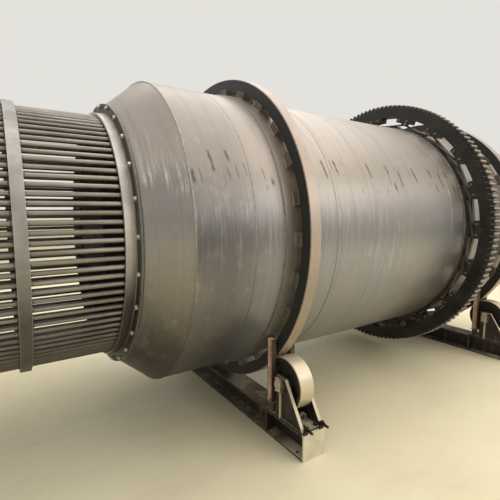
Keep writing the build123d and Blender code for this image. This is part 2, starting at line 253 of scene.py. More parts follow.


# Hot rolled plate bent into courses and wiped down: grey oxide with a soft sheen, brown where it was warm in
# the rolls, with fine lines round the drum. Its upper side is painted light and its lower side painted shade,
# with a painted reflection in a belt above the middle, and painted shade low down before the front ring and
# below beside the gear.
def rolledPlate(name, tones, marks=(), scuffs=0.0):
    material, tree = newMaterial(name)
    place, x, y, z = position(tree)
    clouds, wipe, streaks, mottle, grain = cloudy(
        tree,
        place,
        (1250, 5, 0.55),  # clouds of oxide
        ((49, 1176, 1176), 6, 0.6),  # sweeps of the rag
        ((7.58, 476, 476), 6, 0.65),  # lines from the rolls
        ((79.4, 111, 111), 8, 0.65),  # patches of loose scale
        (4.17, 3, 0.5),  # the scale's grain, finer than 1 mm on the real plate and drawn coarser to show
    )
    # before the front ring the plate has its own painted light and painted shade tones, fading in towards the
    # ring
    beforeRing = (x, stationX["front"] - 0.10, stationX["front"] - 0.55)
    low = layered(tree, tones["low"], (tones["shadedSideBeforeRing"], beforeRing))
    high = layered(tree, tones["high"], (tones["litSideBeforeRing"], beforeRing))
    # a painted reflection of the dark hall: a darker belt just above the axis, stronger before the front ring
    middle = (*within(z, *tones["paintedReflectionBelt"], 0.20), (*beforeRing, 0.20, 0.42))
    shadeByGear = (x, gearX - 1.15, gearX - 0.40)
    # the upper side is painted light and the lower side painted shade, blended by height above the axis
    colour = layered(
        tree,
        low,
        (high, (z, -0.20, 0.50)),
        (tones["middle"], *middle),
        # painted shade low down before the front ring
        (tones["paintedShadeBelow"], beforeRing, (z, *tones["paintedShadeRamp"], 0.0, 0.9)),
        # painted shade on the lower shell beside the gear
        (tones["grease"], shadeByGear, (z, 0.20, -0.60, 0.0, 0.6)),
        (tones["warm"], (clouds, 0.42, 0.68, 0.0, 0.35)),
        (tones["shade"], (wipe, 0.46, 0.70, 0.0, 0.22)),
        (tones["pale"], (mottle, 0.52, 0.74, 0.0, 0.22)),
        (tones["shade"], (streaks, 0.54, 0.74, 0.0, 0.30)),
        (tones["pale"], (streaks, 0.46, 0.28, 0.0, 0.25)),
        (tones["shade"], (grain, 0.55, 0.75, 0.0, 0.14)),
    )
    if scuffs:
        rubs, spread = cloudy(
            tree,
            place,
            ((18.3, 340, 340), 9, 0.75, (1.26, 2.94, 0.84)),
            (476, 4, 0.5, (3.57, 0.84, 4.62)),
        )
        inBelt = within(z, *tones["scuffBelt"], 0.12)
        rubbed = ((rubs, 0.50, 0.62), (spread, 0.40, 0.58, 0.0, scuffs), *inBelt)
        colour = layered(tree, colour, (tones["scuff"], *rubbed))
    for kind in marks:
        colour = layered(tree, colour, (kind["tone"], dragMarks(tree, x, y, z, kind)))
    smooth = howMuch(tree, (wipe, 0.2, 0.8, 0.32, 0.40))
    dull = howMuch(tree, (mottle, 0.4, 0.8, 0.0, 0.06))
    rough = addNode(tree, "ShaderNodeMath", {0: smooth, 1: dull}, operation="ADD")
    waves = addNode(tree, "ShaderNodeMath", {0: clouds, 1: 1.2}, operation="MULTIPLY")
    relief = addNode(tree, "ShaderNodeMath", {0: streaks, 1: 0.05, 2: waves}, operation="MULTIPLY_ADD")
    finishMaterial(tree, colour, rough, 0.6, relief, 0.0012)
    return material


# Round bar as it comes from the mill: dark oxide with a dull shine, rubbed pale where bars slid on each
# other, a brown film, and painted shade on the bars low on the drum.
def barSteel(name, tones):
    material, tree = newMaterial(name)
    place, _, y, z = position(tree)
    along, patches, nicks = cloudy(
        tree,
        place,
        ((444, 37, 37), 6, 0.6),  # streaks along the bar
        (333, 5, 0.6),  # patches of brown film
        ((42, 29.4, 29.4), 5, 0.7),  # nicks of a few millimetres, drawn coarser to show
    )
    colour = layered(
        tree,
        tones["light"],
        (tones["dark"], (along, 0.35, 0.65)),
        (tones["film"], (patches, 0.5, 0.75, 0.0, 0.7)),
        (tones["nick"], (nicks, 0.62, 0.74, 0.0, 0.5)),
        (tones["rubbed"], (radiusFrom(tree, y, z), barRadius - 0.011, barRadius, 0.0, 0.35)),
        (tones["sawn"], (facing(tree)[0], 0.6, 0.9)),
        # painted shade on the bars low on the drum
        (tones["below"], (z, -0.10, -0.80, 0.0, 0.6)),
    )
    finishMaterial(tree, colour, howMuch(tree, (along, 0.3, 0.7, 0.34, 0.5)), 0.75, nicks, 0.0006)
    return material


# Flat bar rolled up on edge: grey oxide outside, ground edges left bright, and painted shade where it hangs
# low.
def bandSteel(name, tones, paintedShadeBelow=0.0):
    material, tree = newMaterial(name)
    place, _, _, z = position(tree)
    cloud, fine = cloudy(
        tree,
        place,
        (333, 7, 0.62),  # clouds of oxide
        ((11.9, 35.7, 35.7), 6, 0.65),  # marks of the rolls, 1 mm on a real bar and drawn coarser to show
    )
    colour = layered(
        tree,
        tones["light"],
        (tones["dark"], (cloud, 0.35, 0.7)),
        (tones["dark"], (fine, 0.54, 0.72, 0.0, 0.4)),
        # painted shade on the lower part
        (dirtAndShade["paintedShadeBelow"], (z, 0.15, -0.42, 0.0, paintedShadeBelow)),
        (tones["edge"], wornEdge(tree, 0.004)),
    )
    finishMaterial(tree, colour, howMuch(tree, (cloud, 0.3, 0.7, 0.4, 0.55)), 0.5, fine, 0.0006)
    return material


# Forged ring turned on its tread, which gives a satin sheen with fine lines round it; its faces are painted
# black as painted shade, with a painted highlight along their edges.
# The lines are 0.3 mm apart on the real ring and drawn coarser to show.
def turnedRing(name, tones, edgeHighlightWidth, roller=False):
    material, tree = newMaterial(name)
    place, _, y, z = position(tree)
    lines, rub, stain = cloudy(
        tree,
        place,
        ((2.08, 83.3, 83.3), 3, 0.5),  # lines of the turning tool
        (250, 6, 0.6),  # rubbed patches
        ((1562, 625, 625), 5, 0.6),
    )
    bright = layered(
        tree,
        tones["tread"],
        (tones["stain"], (stain, 0.38, 0.66)),
        (tones["line"], (lines, 0.45, 0.7, 0.0, 0.35)),
        (tones["line"], (rub, 0.6, 0.8, 0.0, 0.3)),
    )
    faceShade = layered(
        tree,
        tones["face"],
        (tones["dust"], (rub, 0.55, 0.8, 0.0, 0.6)),
        # painted highlight along the edges of the faces
        (tones["edge"], wornEdge(tree, edgeHighlightWidth)),
    )
    # faces looking along the drum get the black painted shade
    shadedFaces = howMuch(tree, (facing(tree)[0], 0.6, 0.9))
    if roller:
        # all that lies inside the rim gets the painted shade too, but the shaft stays bare
        across = distanceFrom(tree, y, (rollerY, -rollerY))
        height = addNode(tree, "ShaderNodeMath", {0: z, 1: rollerZ - axisZ}, operation="SUBTRACT")
        fromShaft = radiusFrom(tree, across, height)
        rim, shaft = station["rollerRim"], station["shaft"] + 0.001
        inside = howMuch(tree, (fromShaft, rim + 0.001, rim - 0.001))
        shadedFaces = addNode(tree, "ShaderNodeMath", {0: shadedFaces, 1: inside}, operation="MAXIMUM")
        shadedFaces = howMuch(tree, shadedFaces, (fromShaft, shaft - 0.0005, shaft + 0.0005))
    colour = layered(tree, bright, (faceShade, shadedFaces))
    roughness = howMuch(tree, (shadedFaces, 0.0, 1.0, 0.42, 0.55))
    metallic = howMuch(tree, (shadedFaces, 0.0, 1.0, 0.5, 0.0))
    finishMaterial(tree, colour, roughness, metallic, lines, 0.0004)
    return material


# Cast gear, black with grease; its crests are rubbed bright where hobbing left them bare.
def castGear(name, tones):
    material, tree = newMaterial(name)
    place, _, y, z = position(tree)
    grain, smear = cloudy(
        tree,
        place,
        (22.2, 5, 0.6),  # the casting's sandy skin, 1 to 2 mm on the real gear and drawn coarser to show
        (167, 6, 0.6),  # smears of grease
    )
    crests = (radiusFrom(tree, y, z), gearRadius - 0.010, gearRadius - 0.0013)
    colour = layered(
        tree,
        tones["iron"],
        (tones["grease"], (smear, 0.4, 0.7)),
        (tones["crest"], crests, (smear, 0.2, 0.5, 0.55, 1.0)),
        (tones["edge"], wornEdge(tree, 0.003), 0.5),
    )
    finishMaterial(tree, colour, howMuch(tree, (smear, 0.3, 0.7, 0.38, 0.6)), 0.15, grain, 0.001)
    return material


# Shop paint over steel, dull and dark, with bare metal where edges are knocked and dust on what faces up.
def shopPaint(name, tones, wear, dust, masks=None):
    material, tree = newMaterial(name)
    place, x, y, z = position(tree)
    cloud, chips, runs = cloudy(
        tree,
        place,
        (333, 6, 0.6),  # uneven coats
        (45.5, 6, 0.7),  # chips, with their finer detail down to 1 mm
        ((83.3, 83.3, 417), 6, 0.6),  # runs down the sides
    )
    colour = layered(
        tree,
        tones["main"],
        (tones["shade"], (cloud, 0.35, 0.7)),
        (tones["bare"], (runs, 0.55, 0.72, 0.0, 0.3)),
    )
    if masks:
        colour = masks(tree, colour, place, x, y, z)
    upward = (facing(tree)[2], 0.8, 0.95)
    colour = layered(
        tree,
        colour,
        (tones["bare"], wornEdge(tree, wear), (chips, 0.40, 0.54)),
        (dirtAndShade["dust"], upward, (cloud, 0.35, 0.6, 0.35, 1.0), dust),
    )
    finishMaterial(tree, colour, howMuch(tree, (cloud, 0.3, 0.7, 0.45, 0.62)), 0.0, chips, 0.0005)
    return material


# Fastener steel with a thin plating, bright or blackened, a little uneven from handling.
def fastenerSteel(name, light, dark):
    material, tree = newMaterial(name)
    (grain,) = cloudy(tree, position(tree)[0], (8.33, 4, 0.6))  # drawn coarser than real to show
    colour = layered(tree, light, (dark, (grain, 0.35, 0.7)))
    finishMaterial(tree, colour, 0.38, 0.9, grain, 0.0003)
    return material


# Weld metal wire-brushed but not ground, dull, and darker where it hangs low.
def weldMetal(name, light, dark):
    material, tree = newMaterial(name)
    place, _, _, z = position(tree)
    grain, patch = cloudy(
        tree,
        place,
        (14.3, 4, 0.6),  # marks of the wire brush, finer than 1 mm on a real bead and drawn coarser to show
        (455, 4, 0.6),  # patches left dull
    )
    colour = layered(
        tree,
        light,
        (dark, (grain, 0.35, 0.7)),
        (dark, (patch, 0.5, 0.7, 0.0, 0.6)),
        # darker towards the bottom
        (dirtAndShade["weldDarkerLow"], (z, 0.2, -0.7, 0.0, 0.75)),
    )
    finishMaterial(tree, colour, 0.48, 0.7, grain, 0.0006)
    return material


# Power-floated concrete, matt, cream with stone dust and tracked a little.
def concrete(name, tones):
    material, tree = newMaterial(name)
    cloud, track, grit = cloudy(
        tree,
        position(tree)[0],
        (2000, 8, 0.6),  # clouds left by the float
        ((2564, 641, 769), 8, 0.7, (3.9, 1.3, 0.0)),  # tracks, longer one way
        (25, 4, 0.6),  # sand grit, about 2 mm on a real floor and drawn coarser to show
    )
    colour = layered(
        tree,
        tones["light"],
        (tones["dark"], (cloud, 0.3, 0.7)),
        (tones["track"], (track, 0.52, 0.7, 0.0, 0.25)),
    )
    finishMaterial(tree, colour, 0.8, 0.0, grit, 0.0004)
    return material


bareSteelAndLitTones = {
    "flange": "#9a8f7c",
    "flangeEnd": "#d2c8ae",
    "endPlate": "#dcd4bd",
    "endPlateShade": "#c3b99f",
    "rib": "#c9bea6",
    "slopedBar": "#d3c9b0",
    # painted light on the inside of the post channels, mottled
    "paintedLightInChannel": "#e6cdbd",
    "paintedLightMottle": "#c3a18e",
    "machined": "#d6cdbb",
    "score": "#4c443b",
}


# Bare steel shows on a beam's end plates and on the flange by them, where it was cut and welded last.
def beamMasks(tree, colour, place, x, y, z):
    outward = addNode(tree, "ShaderNodeMath", {0: y}, operation="ABSOLUTE")
    (patch,) = cloudy(tree, place, (250, 7, 0.7))
    upward = (facing(tree)[2], 0.5, 0.9)
    plateFace = beamEnd - station["endPlate"]
    cream = layered(tree, bareSteelAndLitTones["endPlate"], (bareSteelAndLitTones["endPlateShade"], (patch, 0.4, 0.65)))
    return layered(
        tree,
        colour,
        (bareSteelAndLitTones["flange"], (patch, 0.50, 0.56), upward, 0.6),
        (bareSteelAndLitTones["flangeEnd"], (outward, beamEnd - 0.30, beamEnd - 0.12), upward),
        (cream, (outward, plateFace - 0.001, plateFace)),
    )


# On the stands the sloped bars and the ribs are bare, and the plates between them are painted.
def standMasks(tree, colour, place, x, y, z):
    fromStation = distanceFrom(tree, x, stationX.values())
    fromRoller = distanceFrom(tree, y, (rollerY, -rollerY))
    _, across, up = facing(tree)
    bracket, rib = station["bracketFar"], station["ribHalf"]
    onRib = ((fromRoller, rib + 0.001, rib + 0.0005), (fromStation, bracket + 0.0003, bracket + 0.0006))
    sloped = ((across, 0.4, 0.6), (up, 0.2, 0.4))
    return layered(tree, colour, (bareSteelAndLitTones["rib"], *onRib), (bareSteelAndLitTones["slopedBar"], *sloped))


# The posts are channels; their inside is painted light in a pale pink, standing in for the lit web.
def postMasks(tree, colour, place, x, y, z):
    postY = rollerY - station["postAside"]
    aside = distanceFrom(tree, y, (postY, -postY))
    fromStation = distanceFrom(tree, x, stationX.values())
    web, half = station["postWeb"], station["postHalf"]
    foot = footTop - axisZ + station["postFoot"]
    (blotch,) = cloudy(tree, place, (111, 7, 0.7))
    # painted light on the channel's inside, mottled
    paintedLightInChannel = layered(tree, bareSteelAndLitTones["paintedLightInChannel"], (bareSteelAndLitTones["paintedLightMottle"], (blotch, 0.4, 0.65)))
    inside = ((fromStation, web - 0.0008, web - 0.0002), (aside, half + 0.0006, half + 0.0003))
    return layered(tree, colour, (paintedLightInChannel, *inside, (z, foot + 0.001, foot + 0.003)))


# The bearing blocks have a machined strip down the middle, scored every 24 mm, and primer at its sides.
def blockMasks(tree, colour, place, x, y, z):
    strip = {"half": 0.027, "scoresApart": 0.024}
    aside = distanceFrom(tree, y, (rollerY, -rollerY))
    steps = addNode(tree, "ShaderNodeMath", {0: z, 1: strip["scoresApart"]}, operation="DIVIDE")
    steps = addNode(tree, "ShaderNodeMath", {0: steps}, operation="FRACT")
    scored = layered(tree, bareSteelAndLitTones["machined"], (bareSteelAndLitTones["score"], *within(steps, 0.42, 0.50, 0.04)))
    onStrip = (aside, strip["half"] + 0.0005, strip["half"] - 0.0005)
    return layered(tree, colour, (scored, onStrip, (facing(tree)[0], 0.6, 0.9)))


# Heights are in metres above the axis; a mark's cell is its net's, in millimetres, and its belt is in radians
# above the drum's middle.
shellTones = {
    # high is painted light on the upper side and low is painted shade on the lower side
    "high": "#a3998f",
    "low": "#909399",
    "litSideBeforeRing": "#7b746d",  # before the front ring
    "shadedSideBeforeRing": "#626468",
    # middle is the tone of the painted reflection, in its belt above the axis
    "middle": "#4a4a4c",
    "paintedReflectionBelt": (0.05, 0.18),
    # painted shade low down before the front ring, and the heights where it starts and is full
    "paintedShadeBelow": "#2b2824",
    "paintedShadeRamp": (-0.25, -1.10),  # from where it starts to where it is full
    # grease is the tone of the painted shade below the shell beside the gear
    "grease": "#39352f",
    "warm": "#a5978c",
    "shade": "#6c6866",
    "pale": "#b5aea7",
    "scuff": "#e0dfde",
    "scuffBelt": (-0.25, 0.14),
}
shellMarks = (
    {"cell": (125, 217), "share": 0.62, "belt": (0.33, 0.50), "strength": 0.68, "tone": "#3b2f29"},
    {"cell": (62.5, 125), "share": 0.31, "belt": (0.30, 0.50), "strength": 0.5, "tone": "#40342d"},
)
shellPlate = rolledPlate("Hot rolled shell plate", shellTones, shellMarks, scuffs=0.18)

coneTones = {
    **shellTones,
    "litSideBeforeRing": "#aea59e",
    "shadedSideBeforeRing": "#95928e",
    "paintedReflectionBelt": (0.15, 0.30),
    # a deeper painted shade low down on the cone
    "paintedShadeBelow": "#15130f",
    "paintedShadeRamp": (0.02, -0.76),
    "scuffBelt": (0.36, 0.66),
}
conePlate = rolledPlate("Hot rolled plate, brushed by handling", coneTones, scuffs=0.9)

# the wrapper plates' own tones for the painted light above and the painted shade below
coverTones = {
    **shellTones,
    "high": "#a89b8f",
    "low": "#8d8885",
    "litSideBeforeRing": "#968c84",
    "shadedSideBeforeRing": "#777471",
}
coverPlate = rolledPlate("Hot rolled wrapper plate", coverTones)

barTones = {
    "light": "#8a8580",
    "dark": "#585450",
    "film": "#4c4641",
    "nick": "#2f2722",
    "rubbed": "#b3aa9c",
    "sawn": "#a79d90",
    # below is the painted shade on the lower bars
    "below": "#3d3934",
}
roundBar = barSteel("Mill round bar, rubbed pale", barTones)

bandTones = {"light": "#b3afab", "dark": "#8b8784", "edge": "#d3cec7"}
flatBar = bandSteel("Rolled flat bar, ground edges", bandTones, paintedShadeBelow=0.8)
sleeveTones = {"light": "#d8d1ca", "dark": "#b3aca6", "edge": "#ded8d0"}
sleevePlate = bandSteel("Rolled sleeve plate", sleeveTones, paintedShadeBelow=0.95)
padTones = {"light": "#77716a", "dark": "#544f49", "edge": "#cdc6bb"}
padSteel = bandSteel("Pad blocks, edges bright from cutting", padTones)
# the cone's flange is painted dark as painted shade, with a painted highlight on its edges
rimShadeTones = {"light": "#4a4742", "dark": "#35322e", "edge": "#d8d1c4"}
rimShadeSteel = bandSteel("Flame cut rim, painted shade and painted edge highlight", rimShadeTones)

ringTones = {
    "tread": "#b2a397",
    "stain": "#9e8f83",
    "line": "#8c7f73",
    "face": "#222321",
    "dust": "#33302b",
    "edge": "#8f8578",
}
ringSteel = turnedRing("Riding ring, turned tread and black faces", ringTones, edgeHighlightWidth=0.004)
rollerTones = {
    "tread": "#d9cab2",
    "stain": "#c6b69c",
    "line": "#ad9d84",
    "face": "#141311",
    "dust": "#33302b",
    "edge": "#83765f",
}
rollerName = "Support roller, turned tread and black faces"
rollerSteel = turnedRing(rollerName, rollerTones, edgeHighlightWidth=0.003, roller=True)
gearTones = {"iron": "#191816", "grease": "#2d2a26", "crest": "#978f83", "edge": "#77695a"}
gearIron = castGear("Cast gear, greased, crests bare", gearTones)

enamelTones = {"main": "#1f1e1b", "shade": "#2b2825", "bare": "#6d655a"}
blackPaint = shopPaint("Black enamel on mounting steel", enamelTones, wear=0.003, dust=0.1)
springTones = {"main": "#352b25", "shade": "#443931", "bare": "#8f7f6d"}
springPaint = shopPaint("Spring plate, brown oxide", springTones, wear=0.004, dust=0.15)
brownTones = {"main": "#261e19", "shade": "#342a23", "bare": "#b9ad98"}
beamName, standName = "Dark brown shop paint on beams", "Dark brown shop paint on stands"
beamPaint = shopPaint(beamName, brownTones, wear=0.005, dust=0.25, masks=beamMasks)
standPaint = shopPaint(standName, brownTones, wear=0.004, dust=0.6, masks=standMasks)
postTones = {"main": "#38281f", "shade": "#4a372d", "bare": "#b39f8d"}
postName = "Brown primer on channel"
postPaint = shopPaint(postName, postTones, wear=0.004, dust=0.5, masks=postMasks)
blockTones = {"main": "#5b534a", "shade": "#443d36", "bare": "#c9c0b0"}
blockName = "Primed bearing block, machined down the middle"
blockPaint = shopPaint(blockName, blockTones, wear=0.003, dust=0.3, masks=blockMasks)

plated = fastenerSteel("Plated fastener steel", "#c9c3b8", "#8f887e")
dulled = fastenerSteel("Black fastener steel", "#4a443d", "#2c2824")
worn = fastenerSteel("Fastener steel, dulled by grease", "#8d857a", "#5a534b")
seamWeld = weldMetal("Seam weld, brushed", "#9f978d", "#7e766e")
filletWeld = weldMetal("Fillet weld, dull", "#8b8278", "#4a433c")

slotLook = {
    "shell_steel": shellPlate,
    "screen_bars": roundBar,
    "screen_bands": flatBar,
    "dark_steel": blackPaint,
    "ring_steel": ringSteel,
    "gear_iron": gearIron,
    "base_paint": beamPaint,
    "roller_steel": rollerSteel,
    "bright_steel": padSteel,
}
nodeLook = {
    "discharge_cone": conePlate,
    "screen_sleeve": sleevePlate,
    "cone_flange": rimShadeSteel,
    "spring_plates": springPaint,
}
for end in stationX:
    nodeLook[f"{end}_wrapper_plate"] = coverPlate
    nodeLook[f"{end}_roller_stands"] = standPaint
    nodeLook[f"{end}_guard_posts"] = postPaint
    nodeLook[f"{end}_bearing_housings"] = blockPaint
    nodeLook[f"{end}_adjusting_screws"] = dulled
    nodeLook[f"{end}_lifting_eyes"] = plated
slotOf = {part["node"]: part["material_slot"] for part in frame["record"]["subparts"]}
for name, node in nodes.items():
    look = nodeLook.get(name, slotLook[slotOf[name]])
    for materialSlot in node.material_slots:
        materialSlot.material = look
print("materials on", len(nodes), "model pieces")


def aroundDrum(angle):
    # turns about the drum's axis; at nothing, +Y is outwards
    centre = Matrix.Translation((0, 0, axisZ))
    return centre @ Matrix.Rotation(angle, 4, "X") @ centre.inverted()


def alongDrum(angle, x, radius, sign):
    # a place at an angle and radius on the drum, with +Z along the drum the way the sign says
    place = aroundDrum(angle) @ Matrix.Translation((x, radius, axisZ))
    return place @ Matrix.Rotation(sign * pi / 2, 4, "Y")


def prism(sides, radius, low, high, top=1.0):
    # an upright prism as corners and faces, its top end wider or narrower by a factor
    turns = [2 * pi * k / sides for k in range(sides)]
    corners = [(radius * cos(t), radius * sin(t), low) for t in turns]
    corners += [(radius * top * cos(t), radius * top * sin(t), high) for t in turns]
    faces = [(k, (k + 1) % sides, sides + (k + 1) % sides, sides + k) for k in range(sides)]
    return corners, faces + [tuple(reversed(range(sides))), tuple(range(sides, 2 * sides))]


def dome(sides, rows):
    # half a ball of radius one with its flat side left open
    corners = [(0.0, 0.0, 1.0)]
    turns = [2 * pi * k / sides for k in range(sides)]
    for row in range(1, rows + 1):
        tilt = pi / 2 * row / rows
        corners += [(sin(tilt) * cos(t), sin(tilt) * sin(t), cos(tilt)) for t in turns]
    after = [(k + 1) % sides for k in range(sides)]
    faces = [(0, 1 + k, 1 + after[k]) for k in range(sides)]
    for row in range(rows - 1):
        low, high = 1 + row * sides, 1 + (row + 1) * sides
        faces += [(low + k, high + k, high + after[k], low + after[k]) for k in range(sides)]
    return corners, faces


def joined(*shapes):
    corners, faces = [], []
    for more, sides in shapes:
        start = len(corners)
        corners += more
        faces += [tuple(start + index for index in face) for face in sides]
    return corners, faces


# Radii of a bolt's parts, as shares of its size across the flats.
boltForm = {"washer": 0.64, "corner": 0.56, "crown": 0.48, "thread": 0.27, "crownRise": 0.18}


def boltShape(bolt, stub=0.0):
    # a hex head or nut on its washer, and the bolt's end when it has a stub; +Z is out of the surface
    across, head, washer = bolt["across"], bolt["head"], bolt["washer"]
    top = washer + head
    parts = [
        prism(20, across * boltForm["washer"], 0, washer),
        prism(6, across * boltForm["corner"], washer, top),
        prism(12, across * boltForm["crown"], top, top + head * boltForm["crownRise"], 0.8),
    ]
    if stub:
        parts.append(prism(14, across * boltForm["thread"], top, top + stub, 0.9))
    return joined(*parts)


def stamp(target, shape, matrix):
    # adds a copy of the shape to the target, placed by the matrix
    corners, faces = target
    start = len(corners)
    corners += [(matrix @ Vector(corner))[:] for corner in shape[0]]
    faces += [tuple(start + index for index in face) for face in shape[1]]


def addBead(target, points, outwards, bead, closed, ripple=0.16):
    # a rippled weld bead laid along points, standing proud the way outwards says
    corners, faces = target
    start = len(corners)
    total = len(points)
    for index, (point, up) in enumerate(zip(points, outwards)):
        after = points[(index + 1) % total] if closed or index + 1 < total else point
        before = points[index - 1] if closed or index else point
        side = (after - before).cross(up).normalized()
        swell = 1.0 + ripple * sin(index * 2.1) + random.uniform(-0.7, 0.7) * ripple
        # five points over the bead from one foot to the other
        for step in range(5):
            turn = pi * step / 4
            out = side * (cos(turn) * bead["width"] / 2) + up * (sin(turn) * bead["height"] * swell)
            corners.append((point + out)[:])
    for index in range(total if closed else total - 1):
        low, high = start + 5 * index, start + 5 * ((index + 1) % total)
        faces += [(low + step, high + step, high + step + 1, low + step + 1) for step in range(4)]


def addRingBead(target, x, radius, bead, ripple=0.16):
    # a bead all the way round the drum
    count = int(2 * pi * radius / bead["pitch"])
    ups = [Vector((0, cos(2 * pi * k / count), sin(2 * pi * k / count))) for k in range(count)]
    points = [Vector((x, 0, axisZ)) + up * radius for up in ups]
    addBead(target, points, ups, bead, closed=True, ripple=ripple)


def addLine(target, start, finish, up, bead):
    # a straight bead from start to finish
    start, finish, up = Vector(start), Vector(finish), Vector(up).normalized()
    count = max(2, int((finish - start).length / bead["pitch"]))
    points = [start.lerp(finish, k / count) for k in range(count + 1)]
    addBead(target, points, [up] * (count + 1), bead, closed=False)


def addPiece(name, shape, look, body, bevel=0.0, smooth=False):
    mesh = bpy.data.meshes.new(name)
    mesh.from_pydata(shape[0], [], shape[1])
    bm = bmesh.new()
    bm.from_mesh(mesh)
    bmesh.ops.recalc_face_normals(bm, faces=bm.faces)
    bm.to_mesh(mesh)
    bm.free()
    piece = bpy.data.objects.new(name, mesh)
    bpy.context.collection.objects.link(piece)
    mesh.materials.append(look)
    if smooth:
        mesh.shade_smooth()
    if bevel:
        soften = piece.modifiers.new("Softened edges", "BEVEL")
        soften.width = bevel
        soften.segments = 2
        soften.limit_method = "ANGLE"
    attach(piece, body)


# Hex bolts through the screen's flange into the cone's.
flangeBolts = {
    "count": 27,
    "circle": 0.900,
    "first": 0.0483,
    "across": 0.026,
    "head": 0.011,
    "washer": 0.003,
}
flangeLeft = span("screen_flange")[0]
shape = ([], [])
bolt = boltShape(flangeBolts)
for k in range(flangeBolts["count"]):
    angle = pi - flangeBolts["first"] + 2 * pi * k / flangeBolts["count"]
    stamp(shape, bolt, alongDrum(angle, flangeLeft, flangeBolts["circle"], -1))
addPiece("flange_bolts", shape, plated, "drum", bevel=0.001)

# Tacks that hold every bar to the bands, the end ring and the sleeve.
barTacks = {
    "bars": 104,
    "wide": 0.011,
    "high": 0.006,
    "along": 0.009,
    "sunk": 0.0015,
    "stray": 0.0012,  # radians out of place, either way
    "grow": (0.85, 1.2),  # smallest and largest, as shares of the size
}
tackEdges = [span("screen_end_ring")[1], span("screen_sleeve")[0]]
for number in (1, 2, 3):
    tackEdges += list(span(f"screen_band_{number}"))
shape = ([], [])
blob = dome(10, 3)
upright = Matrix.Rotation(-pi / 2, 4, "X")
for x in tackEdges:
    place = Matrix.Translation((x, barRadius - barTacks["sunk"], axisZ))
    for k in range(barTacks["bars"]):
        stray = random.uniform(-barTacks["stray"], barTacks["stray"])
        turn = aroundDrum(2 * pi * (k + 0.5) / barTacks["bars"] + stray)
        grow = random.uniform(*barTacks["grow"])
        size = [barTacks[side] * grow for side in ("along", "wide", "high")]
        stamp(shape, blob, turn @ place @ upright @ Matrix.Diagonal((*size, 1.0)))
addPiece("bar_tack_welds", shape, filletWeld, "drum", smooth=True)

# Seams between the courses, around the drum, dressed nearly flush.
seams = {"width": 0.010, "height": 0.0014, "pitch": 0.012, "sunk": 0.0003}
seamRadius = shellRadius - seams["sunk"]
shape = ([], [])
for number in (1, 2, 3, 4):
    addRingBead(shape, span(f"shell_course_{number}")[0], seamRadius, seams, ripple=0.08)
addPiece("course_seam_welds", shape, seamWeld, "drum", smooth=True)

# Fillets at the edges of the wrapper plates, the collar, the screen's sleeve and the gear's belt.
fillets = {"width": 0.012, "height": 0.007, "pitch": 0.011}
collarX, collarRadius = span("feed_end_plate")[1], radiusOf("feed_collar")
filletPlaces = [(x, shellRadius) for end in stationX for x in span(f"{end}_wrapper_plate")]
filletPlaces += [(collarX, collarRadius), (flangeLeft, radiusOf("screen_sleeve"))]
shape = ([], [])
for x, radius in filletPlaces:
    addRingBead(shape, x, radius, fillets, ripple=0.1)
addPiece("ring_fillet_welds", shape, seamWeld, "drum", smooth=True)
shape = ([], [])
for x in span("gear_belt"):
    addRingBead(shape, x, shellRadius, fillets)
addPiece("belt_fillet_welds", shape, filletWeld, "drum", smooth=True)

# One lengthwise seam to a course, at its own angle from the far side's middle.
lengthSeams = {1: 0.55, 2: -0.75, 3: 0.35, 4: -0.55}
shape = ([], [])
for number, turn in lengthSeams.items():
    left, right = span(f"shell_course_{number}")
    up = Vector((0, cos(turn), sin(turn)))
    foot = Vector((0, 0, axisZ)) + up * seamRadius
    addLine(shape, foot + Vector((left, 0, 0)), foot + Vector((right, 0, 0)), up, seams)
addPiece("lengthwise_seam_welds", shape, seamWeld, "drum", smooth=True)

# Short fillets along both ends of every pad under the riding rings.
padWelds = {"count": 27, "long": 0.088, "width": 0.007, "height": 0.004, "pitch": 0.007}
for end in stationX:
    radius = radiusOf(f"{end}_wrapper_plate")
    half = padWelds["long"] / 2 / radius
    steps = int(padWelds["long"] / padWelds["pitch"])
    shape = ([], [])
    for k in range(padWelds["count"]):
        middle = 2 * pi * (k + 0.5) / padWelds["count"]
        turns = [middle - half + 2 * half * step / steps for step in range(steps + 1)]
        ups = [Vector((0, cos(t), sin(t))) for t in turns]
        for x in span(f"{end}_ring_pads"):
            points = [Vector((x, 0, axisZ)) + up * radius for up in ups]
            addBead(shape, points, ups, padWelds, closed=False)
    addPiece(f"{end}_pad_welds", shape, seamWeld, "drum", smooth=True)

# Two bolts through each lug of the gear, nuts on the far face.
lugBolts = {
    "count": 20,
    "apart": 0.100,
    "below": 0.023,  # the lug's outer face to the bolts
    "across": 0.021,
    "head": 0.010,
    "washer": 0.003,
    "stub": 0.006,
}
gearLeft, gearRight = span("gear_lugs")
lugMiddle = radiusOf("gear_lugs") - lugBolts["below"]
shape = ([], [])
headShape = boltShape(lugBolts)
nutShape = boltShape(lugBolts, lugBolts["stub"])
for k in range(lugBolts["count"]):
    for offset in (-0.5, 0.5):
        angle = 2 * pi * k / lugBolts["count"] + offset * lugBolts["apart"] / lugMiddle
        stamp(shape, headShape, alongDrum(angle, gearLeft, lugMiddle, -1))
        stamp(shape, nutShape, alongDrum(angle, gearRight, lugMiddle, 1))
addPiece("lug_bolts", shape, worn, "drum", bevel=0.0008)

# Bolts beside the gear's two joints.
jointBolts = {"across": 0.030, "head": 0.014, "washer": 0.003, "aside": 0.045, "above": 0.068}
rimMiddle = lugMiddle + jointBolts["above"]
shape = ([], [])
bolt = boltShape(jointBolts)
for half in (0, pi):
    for sign, x in ((-1, gearLeft), (1, gearRight)):
        for offset in (-jointBolts["aside"], jointBolts["aside"]):
            stamp(shape, bolt, alongDrum(half + offset / rimMiddle, x, rimMiddle, sign))
addPiece("gear_joint_bolts", shape, dulled, "drum", bevel=0.0008)
print("drum pieces done")

